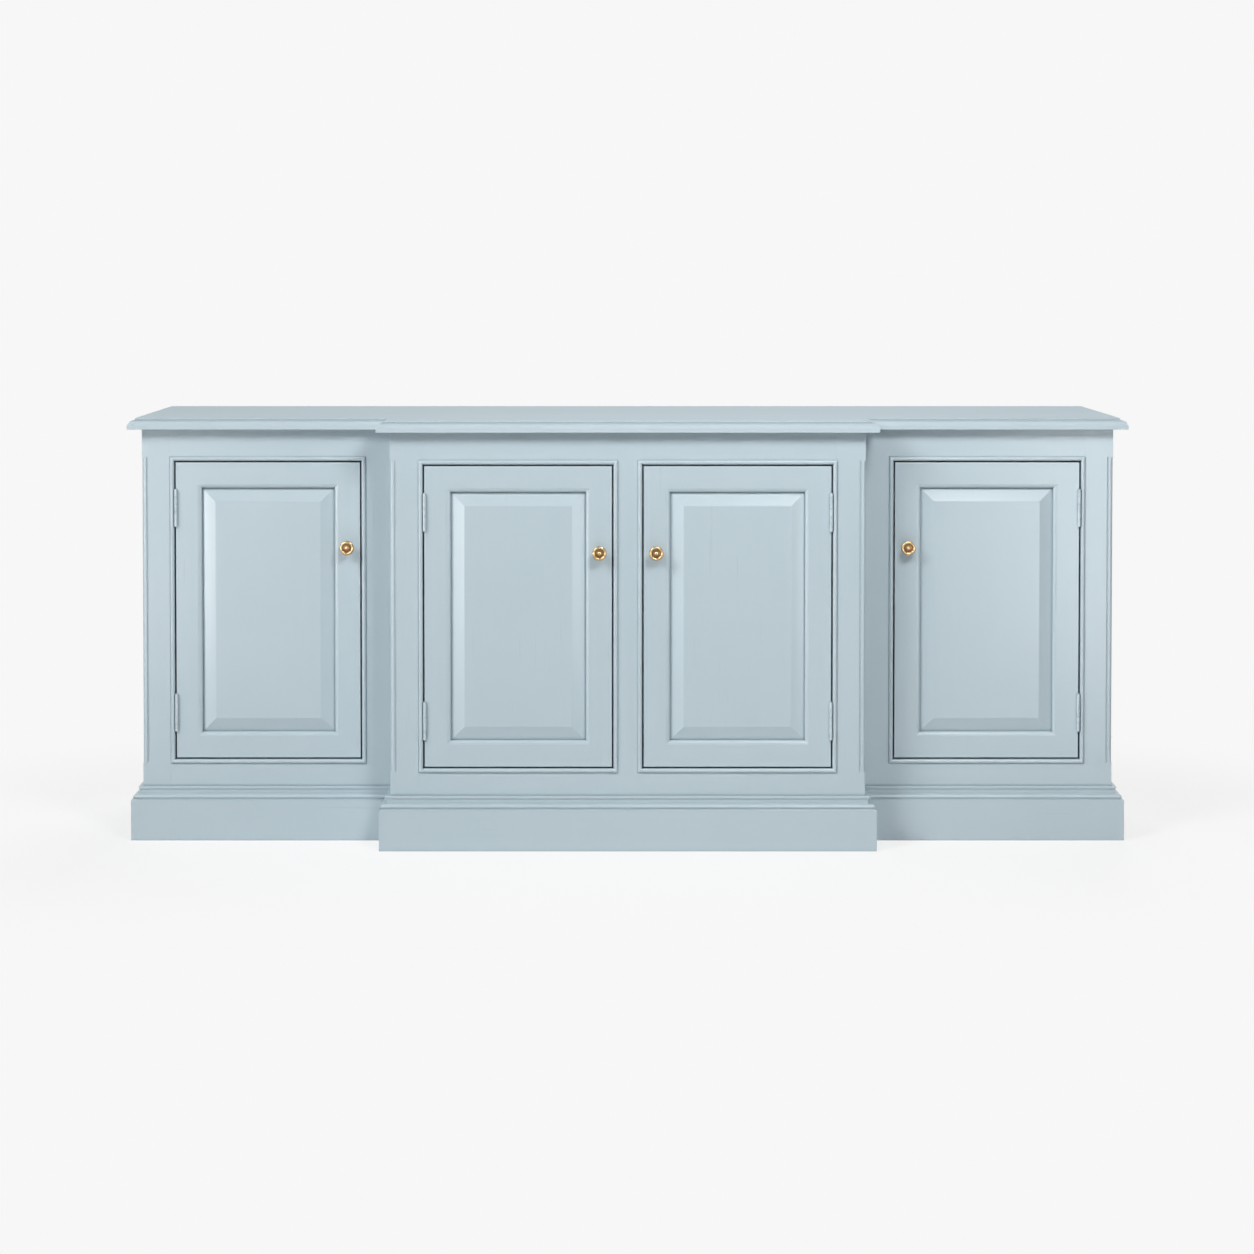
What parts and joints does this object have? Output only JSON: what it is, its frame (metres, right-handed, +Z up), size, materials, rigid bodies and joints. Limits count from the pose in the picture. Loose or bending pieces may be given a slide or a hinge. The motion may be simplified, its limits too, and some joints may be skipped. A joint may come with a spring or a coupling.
{
  "type": "credenza",
  "caption": "Painted breakfront credenza: a projecting centre between two wings, moulded top and plinth, and inset raised-panel doors on butt hinges in cock beads, with brass knobs.",
  "frame": {"origin": "on the floor, under the middle of the overall box", "axes": "+X to the right of someone facing the doors, +Y to the back, +Z up; the doors face -Y"},
  "size_m": [2.032, 0.508, 0.862],
  "materials": {
    "painted_wood": "satin pale blue paint on wood",
    "hinge_paint": "painted over in the cabinet colour",
    "brass": "polished, lacquered",
    "pin_steel": "drawn",
    "catch_plastic": "moulded"
  },
  "bodies": {
    "carcass": {"top": "painted_wood", "plinth": "painted_wood", "end_left": "painted_wood", "end_right": "painted_wood", "partition_left": "painted_wood", "partition_right": "painted_wood", "floor_left": "painted_wood", "floor_centre": "painted_wood", "floor_right": "painted_wood", "shelf_left": "painted_wood", "shelf_centre": "painted_wood", "shelf_right": "painted_wood", "back_panel": "painted_wood", "face_frame_left": "painted_wood", "face_frame_centre": "painted_wood", "face_frame_right": "painted_wood", "cock_bead_left": "painted_wood", "cock_bead_centre_left": "painted_wood", "cock_bead_centre_right": "painted_wood", "cock_bead_right": "painted_wood", "catch_left": "catch_plastic", "catch_centre_left": "catch_plastic", "catch_centre_right": "catch_plastic", "catch_right": "catch_plastic", "hinge_left_upper_frame_leaf": "hinge_paint", "hinge_left_lower_frame_leaf": "hinge_paint", "hinge_centre_left_upper_frame_leaf": "hinge_paint", "hinge_centre_left_lower_frame_leaf": "hinge_paint", "hinge_centre_right_upper_frame_leaf": "hinge_paint", "hinge_centre_right_lower_frame_leaf": "hinge_paint", "hinge_right_upper_frame_leaf": "hinge_paint", "hinge_right_lower_frame_leaf": "hinge_paint", "hinge_left_upper_pin": "pin_steel", "hinge_left_lower_pin": "pin_steel", "hinge_centre_left_upper_pin": "pin_steel", "hinge_centre_left_lower_pin": "pin_steel", "hinge_centre_right_upper_pin": "pin_steel", "hinge_centre_right_lower_pin": "pin_steel", "hinge_right_upper_pin": "pin_steel", "hinge_right_lower_pin": "pin_steel"},
    "door_left": {"door_left_frame": "painted_wood", "door_left_panel": "painted_wood", "door_left_knob": "brass", "hinge_left_upper_door_leaf": "hinge_paint", "hinge_left_lower_door_leaf": "hinge_paint"},
    "door_centre_left": {"door_centre_left_frame": "painted_wood", "door_centre_left_panel": "painted_wood", "door_centre_left_knob": "brass", "hinge_centre_left_upper_door_leaf": "hinge_paint", "hinge_centre_left_lower_door_leaf": "hinge_paint"},
    "door_centre_right": {"door_centre_right_frame": "painted_wood", "door_centre_right_panel": "painted_wood", "door_centre_right_knob": "brass", "hinge_centre_right_upper_door_leaf": "hinge_paint", "hinge_centre_right_lower_door_leaf": "hinge_paint"},
    "door_right": {"door_right_frame": "painted_wood", "door_right_panel": "painted_wood", "door_right_knob": "brass", "hinge_right_upper_door_leaf": "hinge_paint", "hinge_right_lower_door_leaf": "hinge_paint"}
  },
  "joints": [
    {"name": "door_left_hinge", "type": "hinge", "parent": "carcass", "child": "door_left", "pos_m": [-0.9211, -0.1411, 0.468], "axis": [0, 0, -1], "range_deg": [0, 170]},
    {"name": "door_centre_left_hinge", "type": "hinge", "parent": "carcass", "child": "door_centre_left", "pos_m": [-0.4072, -0.2321, 0.468], "axis": [0, 0, -1], "range_deg": [0, 170]},
    {"name": "door_centre_right_hinge", "type": "hinge", "parent": "carcass", "child": "door_centre_right", "pos_m": [0.4072, -0.2321, 0.468], "axis": [0, 0, 1], "range_deg": [0, 170]},
    {"name": "door_right_hinge", "type": "hinge", "parent": "carcass", "child": "door_right", "pos_m": [0.9211, -0.1411, 0.468], "axis": [0, 0, 1], "range_deg": [0, 170]}
  ]
}
